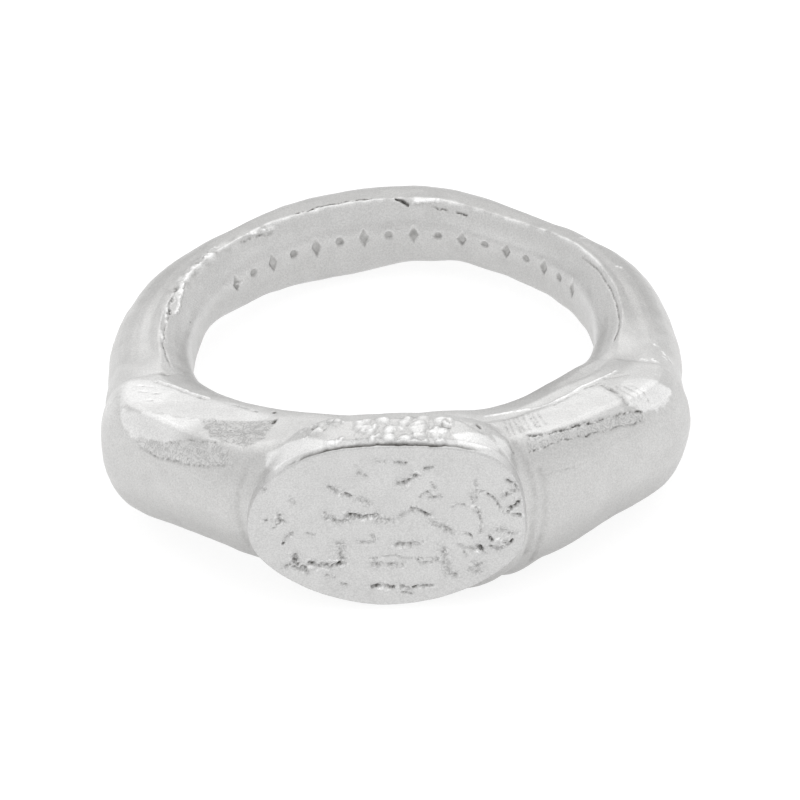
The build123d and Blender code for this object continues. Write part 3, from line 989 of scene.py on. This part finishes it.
def silver(name, colour, roughness, seed):
    """Satin cast silver: fine grain, bright places from painted highlights and wear, dark hollows from
    painted shade, and torn rough patches.
    """
    made = bpy.data.materials.new(name)
    made.use_nodes = True
    nodes, links = made.node_tree.nodes, made.node_tree.links
    shader = nodes["Principled BSDF"]
    shader.inputs["Metallic"].default_value = 1.0
    place = nodes.new("ShaderNodeTexCoord")

    def noise(scale, detail, offset, distortion=0.0):
        shift = nodes.new("ShaderNodeVectorMath")
        shift.operation = "ADD"
        shift.inputs[1].default_value = (offset, offset * 0.7, offset * 1.3)
        links.new(place.outputs["Object"], shift.inputs[0])
        made_noise = nodes.new("ShaderNodeTexNoise")
        for key, number in (("Scale", scale), ("Detail", detail), ("Distortion", distortion)):
            made_noise.inputs[key].default_value = number
        links.new(shift.outputs[0], made_noise.inputs["Vector"])
        return made_noise.outputs["Fac"]

    def ramp(value, low, high, start, end):
        scaled = nodes.new("ShaderNodeMapRange")
        for key, number in (("From Min", low), ("From Max", high), ("To Min", start), ("To Max", end)):
            scaled.inputs[key].default_value = number
        links.new(value, scaled.inputs["Value"])
        return scaled.outputs["Result"]

    def maths(operation, first, second):
        node = nodes.new("ShaderNodeMath")
        node.operation = operation
        for socket, value in zip(node.inputs, (first, second)):
            if isinstance(value, float):
                socket.default_value = value
            else:
                links.new(value, socket)
        return node.outputs[0]

    def attribute(key):
        node = nodes.new("ShaderNodeAttribute")
        node.attribute_name = key
        return node.outputs["Fac"]

    tone, rough = attribute("tone"), attribute("rough")
    # A ramp turns the painted light and wear into colour: painted highlights and wear towards bright silver,
    # painted shade towards dark.
    shade = nodes.new("ShaderNodeValToRGB")
    stops = shade.color_ramp.elements
    stops[0].color = (*BRIGHT_SILVER, 1)
    stops[1].color = (*DARK_SILVER, 1)
    stops.new(0.5).color = (*colour, 1)
    links.new(ramp(tone, -1.0, 1.0, 0.0, 1.0), shade.inputs["Fac"])

    # Noise scales are per metre, so 900 is about a millimetre. Thin veins where a distorted noise
    # crosses its middle value make the torn texture.
    from_middle = maths("SUBTRACT", noise(2100.0, 6.0, seed + 11.0, 2.2), 0.5)
    veins = ramp(maths("ABSOLUTE", from_middle, 0.0), 0.0, 0.06, 1.0, 0.0)
    torn = maths("MULTIPLY", veins, rough)
    mottle = ramp(noise(900.0, 3.0, seed), 0.3, 0.7, 0.97, 1.02)
    speckle = ramp(noise(15000.0, 1.0, seed + 5.0), 0.3, 0.7, 0.91, 1.09)
    level = maths("MULTIPLY", maths("MULTIPLY", mottle, speckle), ramp(torn, 0.0, 1.0, 1.0, 0.72))
    tinted = nodes.new("ShaderNodeMix")
    tinted.data_type = "RGBA"
    tinted.blend_type = "MULTIPLY"
    tinted.inputs["Factor"].default_value = 1.0
    links.new(shade.outputs["Color"], tinted.inputs["A"])
    links.new(level, tinted.inputs["B"])
    links.new(tinted.outputs["Result"], shader.inputs["Base Color"])

    satin = ramp(noise(1400.0, 2.0, seed + 3.0), 0.3, 0.7, roughness - 0.05, roughness + 0.07)
    links.new(satin, shader.inputs["Roughness"])
    relief = maths("SUBTRACT", noise(14000.0, 2.0, seed + 7.0), torn)
    grain = nodes.new("ShaderNodeBump")
    grain.inputs["Strength"].default_value = 0.6
    grain.inputs["Distance"].default_value = 0.00002
    links.new(relief, grain.inputs["Height"])
    links.new(grain.outputs["Normal"], shader.inputs["Normal"])
    return made


# ---------------------------------------------------------------- the pieces
def place_piece(name, mesh, material, node):
    piece = new_object(name, mesh)
    mesh.materials.append(material)
    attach(piece, "root")
    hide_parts(node)


cast = silver("cast_silver", CAST_COLOUR, CAST_ROUGHNESS, 1.0)
face = silver("seal_silver", SEAL_COLOUR, SEAL_ROUGHNESS, 5.0)

EVENING_ROUNDS = 6      # takes the voxel steps out of the whole skin
SOFTENING_ROUNDS = 70   # rounds the bore's edges and the folds beside the seal

body = build_body()
relax(body, EVENING_ROUNDS, np.ones(len(body.vertices)), True)
body_points, _ = arrays(body)
round_the_ring = np.abs(np.degrees(np.arctan2(body_points[:, 0], -body_points[:, 1])))
bore_side = 1.0 - smoothstep(9.0, 9.3, np.hypot(body_points[:, 0], body_points[:, 1]))
beside_seal = smoothstep(19.0, 23.0, round_the_ring) * (1.0 - smoothstep(30.0, 36.0, round_the_ring))
outside = smoothstep(11.2, 12.0, np.hypot(body_points[:, 0], body_points[:, 1]))
relax(body, SOFTENING_ROUNDS, np.maximum(beside_seal * outside, bore_side), False)
detail_body(body)
for name, mesh in cut_body(body).items():
    place_piece(f"{name}_skin", mesh, cast, name)
bpy.data.meshes.remove(body)

seal = build_seal()
detail_seal(seal)
seal.transform(Matrix.Scale(MM, 4))
seal.shade_smooth()
place_piece("seal_plate_skin", seal, face, "seal_plate")
film_ends = [(PLATE_BACK_Y, FILM_INSET), (PLATE_BACK_Y + SOLDER, FILM_INSET)]
film = new_mesh("film", *outline_loft(film_ends))
film.transform(Matrix.Scale(MM, 4))
place_piece("seal_plate_solder_skin", film, cast, "seal_plate_solder")


# ---------------------------------------------------------------- floor, light and camera
def resting_floor():
    """Height at y = 0 and slope of the floor that the head and the shank both rest on."""
    skins = [piece.data for piece in bpy.data.objects if piece.name.endswith("_skin")]
    points = np.concatenate([arrays(mesh)[0] for mesh in skins])
    head, shank = points[points[:, 1] < -9 * MM], points[points[:, 1] > 5 * MM]
    low, high = 0.0, 0.5
    for _ in range(30):
        slope = (low + high) / 2
        under_head, under_shank = ((side[:, 2] - slope * side[:, 1]).min() for side in (head, shank))
        low, high = (low, slope) if under_head > under_shank else (slope, high)
    return under_head, slope


floor_z, slope = resting_floor()
tilt = math.atan(slope)
up = Vector((0, -math.sin(tilt), math.cos(tilt)))
along = Vector((0, math.cos(tilt), math.sin(tilt)))
FLOOR_HALF = 1.5        # half the floor's side, in metres
GAP = 0.02 * MM         # between the ring's lowest points and the floor
corners = [
    Vector((sx * FLOOR_HALF, 0, floor_z)) - up * GAP + along * sy * FLOOR_HALF
    for sx, sy in ((-1, -1), (1, -1), (1, 1), (-1, 1))
]
floor = new_object("floor", new_mesh("floor", corners, [(0, 1, 2, 3)]))
paper = bpy.data.materials.new("floor_paper")
paper.use_nodes = True
for key, value in (
    ("Base Color", (0.32, 0.32, 0.32, 1)),
    ("Roughness", 0.9),
    ("Emission Color", (1, 1, 1, 1)),
    ("Emission Strength", 0.78),
):
    paper.node_tree.nodes["Principled BSDF"].inputs[key].default_value = value
floor.data.materials.append(paper)


def area_light(name, place, size, power):
    """A round soft lamp in metres and watts, aimed at the ring's centre."""
    lamp = bpy.data.lights.new(name, "AREA")
    lamp.shape = "DISK"
    lamp.size = size
    lamp.energy = power
    made = new_object(name, lamp)
    made.location = place
    made.rotation_euler = (-place).to_track_quat("-Z", "Y").to_euler()


area_light("overhead", up * 0.35 + along * 0.06, 0.35, 0.1)
area_light("behind", up * 0.24 + along * 0.31, 0.34, 0.15)

SKY_STRENGTH = 0.98
world = bpy.data.worlds.new("studio")
world.use_nodes = True
sky = world.node_tree.nodes["Background"]
sky.inputs["Color"].default_value = (1, 1, 1, 1)
sky.inputs["Strength"].default_value = SKY_STRENGTH
bpy.context.scene.world = world
bpy.context.scene.view_settings.view_transform = "Standard"

# The camera looks down on the ring from the seal's side, a little from its right and rolled.
ELEVATION = math.radians(35.0)
SWING = math.radians(3.3)
ROLL = math.radians(-3.8)
DISTANCE = 0.26         # metres
LENS = 272.0            # millimetres, on a sensor 36 mm wide
RING_LEFT = 0.31 * MM   # the ring's centre is this far left of the middle of the picture
RING_ABOVE = 2.1 * MM   # and this far above it

back = Vector((
    math.sin(SWING) * math.cos(ELEVATION), -math.cos(SWING) * math.cos(ELEVATION), math.sin(ELEVATION)
))
level_right = Vector((math.cos(SWING), math.sin(SWING), 0))
level_up = back.cross(level_right)
right = level_right * math.cos(ROLL) + level_up * math.sin(ROLL)
upward = level_up * math.cos(ROLL) - level_right * math.sin(ROLL)
lens = bpy.data.cameras.new("camera")
lens.sensor_width = 36.0
lens.lens = LENS
lens.clip_start, lens.clip_end = 0.01, 10.0
camera = new_object("camera", lens)
place = right * RING_LEFT - upward * RING_ABOVE + back * DISTANCE
camera.matrix_world = Matrix((
    (right.x, upward.x, back.x, place.x),
    (right.y, upward.y, back.y, place.y),
    (right.z, upward.z, back.z, place.z),
    (0, 0, 0, 1),
))
bpy.context.scene.camera = camera
